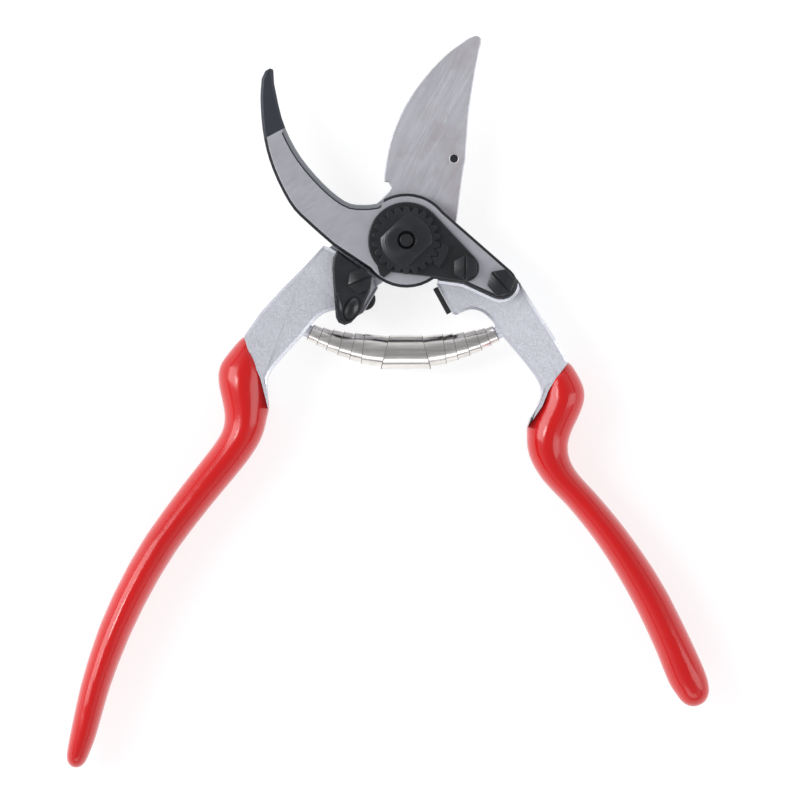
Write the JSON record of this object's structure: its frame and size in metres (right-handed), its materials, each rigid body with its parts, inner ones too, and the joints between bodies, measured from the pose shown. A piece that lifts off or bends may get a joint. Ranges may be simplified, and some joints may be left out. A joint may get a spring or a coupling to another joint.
{
  "type": "pruning shears",
  "caption": "One-hand bypass pruning shears with a curved blade, a hooked counter blade, coated handles, a volute spring and a locking catch.",
  "frame": {"origin": "on the pivot's axis, at the flat outer face of the pivot bolt's head", "axes": "+Z along the pivot, from the bolt's head to the nut; +Y from the handles to the blades; +X to the side of the standing handle"},
  "size_m": [0.1614, 0.1835, 0.0205],
  "materials": {
    "cast_aluminium": "tumbled satin",
    "dipped_coating": "gloss dipped coating",
    "blade_steel": "finely ground",
    "hook_steel": "ground face, blackened edges",
    "blackened_steel": "black oxide",
    "bumper_rubber": "matt",
    "spring_strip": "bright nickel strip"
  },
  "bodies": {
    "anvil_side": {"right_handle": "cast_aluminium", "right_grip": "dipped_coating", "anvil_hook": "hook_steel", "pivot_bolt": "blackened_steel", "pivot_nut": "blackened_steel", "locking_segment": "blackened_steel", "segment_screw": "blackened_steel", "hook_screw": "blackened_steel", "rubber_bumper": "bumper_rubber", "spring_band_13": "spring_strip"},
    "blade_side": {"left_handle": "cast_aluminium", "left_grip": "dipped_coating", "cutting_blade": "blade_steel", "blade_plug": "blackened_steel", "spring_band_01": "spring_strip"},
    "catch": {"catch_lever": "blackened_steel", "catch_knob": "blackened_steel", "catch_screw": "blackened_steel"},
    "band_02": {"spring_band_02": "spring_strip"},
    "band_03": {"spring_band_03": "spring_strip"},
    "band_04": {"spring_band_04": "spring_strip"},
    "band_05": {"spring_band_05": "spring_strip"},
    "band_06": {"spring_band_06": "spring_strip"},
    "band_07": {"spring_band_07": "spring_strip"},
    "band_08": {"spring_band_08": "spring_strip"},
    "band_09": {"spring_band_09": "spring_strip"},
    "band_10": {"spring_band_10": "spring_strip"},
    "band_11": {"spring_band_11": "spring_strip"},
    "band_12": {"spring_band_12": "spring_strip"}
  },
  "joints": [
    {"name": "jaw", "type": "hinge", "parent": "anvil_side", "child": "blade_side", "pos_m": [0, 0, 0.0085], "axis": [0, 0, 1], "range_deg": [0, 59.5], "stiffness_Nm_per_rad": 0.6, "springref_deg": -22.92, "deforming": ["spring_band_01", "spring_band_02", "spring_band_03", "spring_band_04", "spring_band_05", "spring_band_06", "spring_band_07", "spring_band_08", "spring_band_09", "spring_band_10", "spring_band_11", "spring_band_12", "spring_band_13"]},
    {"name": "catch_turn", "type": "hinge", "parent": "blade_side", "child": "catch", "pos_m": [-0.0116, -0.0101, 0.0131], "axis": [0, 0, 1], "range_deg": [0, 25]},
    {"name": "band_02_turn", "type": "hinge", "parent": "anvil_side", "child": "band_02", "pos_m": [0.00063, -0.00055, 0.0085], "axis": [0, 0, 1], "range_deg": [0, 56.88]},
    {"name": "band_03_turn", "type": "hinge", "parent": "anvil_side", "child": "band_03", "pos_m": [0.00132, -0.00094, 0.0085], "axis": [0, 0, 1], "range_deg": [0, 53.95]},
    {"name": "band_04_turn", "type": "hinge", "parent": "anvil_side", "child": "band_04", "pos_m": [0.00212, -0.00168, 0.0085], "axis": [0, 0, 1], "range_deg": [0, 50.79]},
    {"name": "band_05_turn", "type": "hinge", "parent": "anvil_side", "child": "band_05", "pos_m": [0.00297, -0.00271, 0.0085], "axis": [0, 0, 1], "range_deg": [0, 47.8]},
    {"name": "band_06_turn", "type": "hinge", "parent": "anvil_side", "child": "band_06", "pos_m": [0.00391, -0.00193, 0.0085], "axis": [0, 0, 1], "range_deg": [0, 42.5]},
    {"name": "band_07_turn", "type": "hinge", "parent": "anvil_side", "child": "band_07", "pos_m": [0.00602, -0.00225, 0.0085], "axis": [0, 0, 1], "range_deg": [0, 32.65]},
    {"name": "band_08_turn", "type": "hinge", "parent": "anvil_side", "child": "band_08", "pos_m": [0.00733, 0.00041, 0.0085], "axis": [0, 0, 1], "range_deg": [0, 21.74]},
    {"name": "band_09_turn", "type": "hinge", "parent": "anvil_side", "child": "band_09", "pos_m": [0.00748, 0.00326, 0.0085], "axis": [0, 0, 1], "range_deg": [0, 15.75]},
    {"name": "band_10_turn", "type": "hinge", "parent": "anvil_side", "child": "band_10", "pos_m": [0.00882, 0.00134, 0.0085], "axis": [0, 0, 1], "range_deg": [0, 12.09]},
    {"name": "band_11_turn", "type": "hinge", "parent": "anvil_side", "child": "band_11", "pos_m": [0.01073, -0.00174, 0.0085], "axis": [0, 0, 1], "range_deg": [0, 8.1]},
    {"name": "band_12_turn", "type": "hinge", "parent": "anvil_side", "child": "band_12", "pos_m": [0.01153, -0.0016, 0.0085], "axis": [0, 0, 1], "range_deg": [0, 3.76]}
  ],
  "couplings": [
    {"joint": "band_02_turn", "follows": "jaw", "ratio": 0.9552},
    {"joint": "band_03_turn", "follows": "jaw", "ratio": 0.9059},
    {"joint": "band_04_turn", "follows": "jaw", "ratio": 0.8527},
    {"joint": "band_05_turn", "follows": "jaw", "ratio": 0.8025},
    {"joint": "band_06_turn", "follows": "jaw", "ratio": 0.7135},
    {"joint": "band_07_turn", "follows": "jaw", "ratio": 0.5479},
    {"joint": "band_08_turn", "follows": "jaw", "ratio": 0.3646},
    {"joint": "band_09_turn", "follows": "jaw", "ratio": 0.2638},
    {"joint": "band_10_turn", "follows": "jaw", "ratio": 0.2024},
    {"joint": "band_11_turn", "follows": "jaw", "ratio": 0.1353},
    {"joint": "band_12_turn", "follows": "jaw", "ratio": 0.0624}
  ]
}
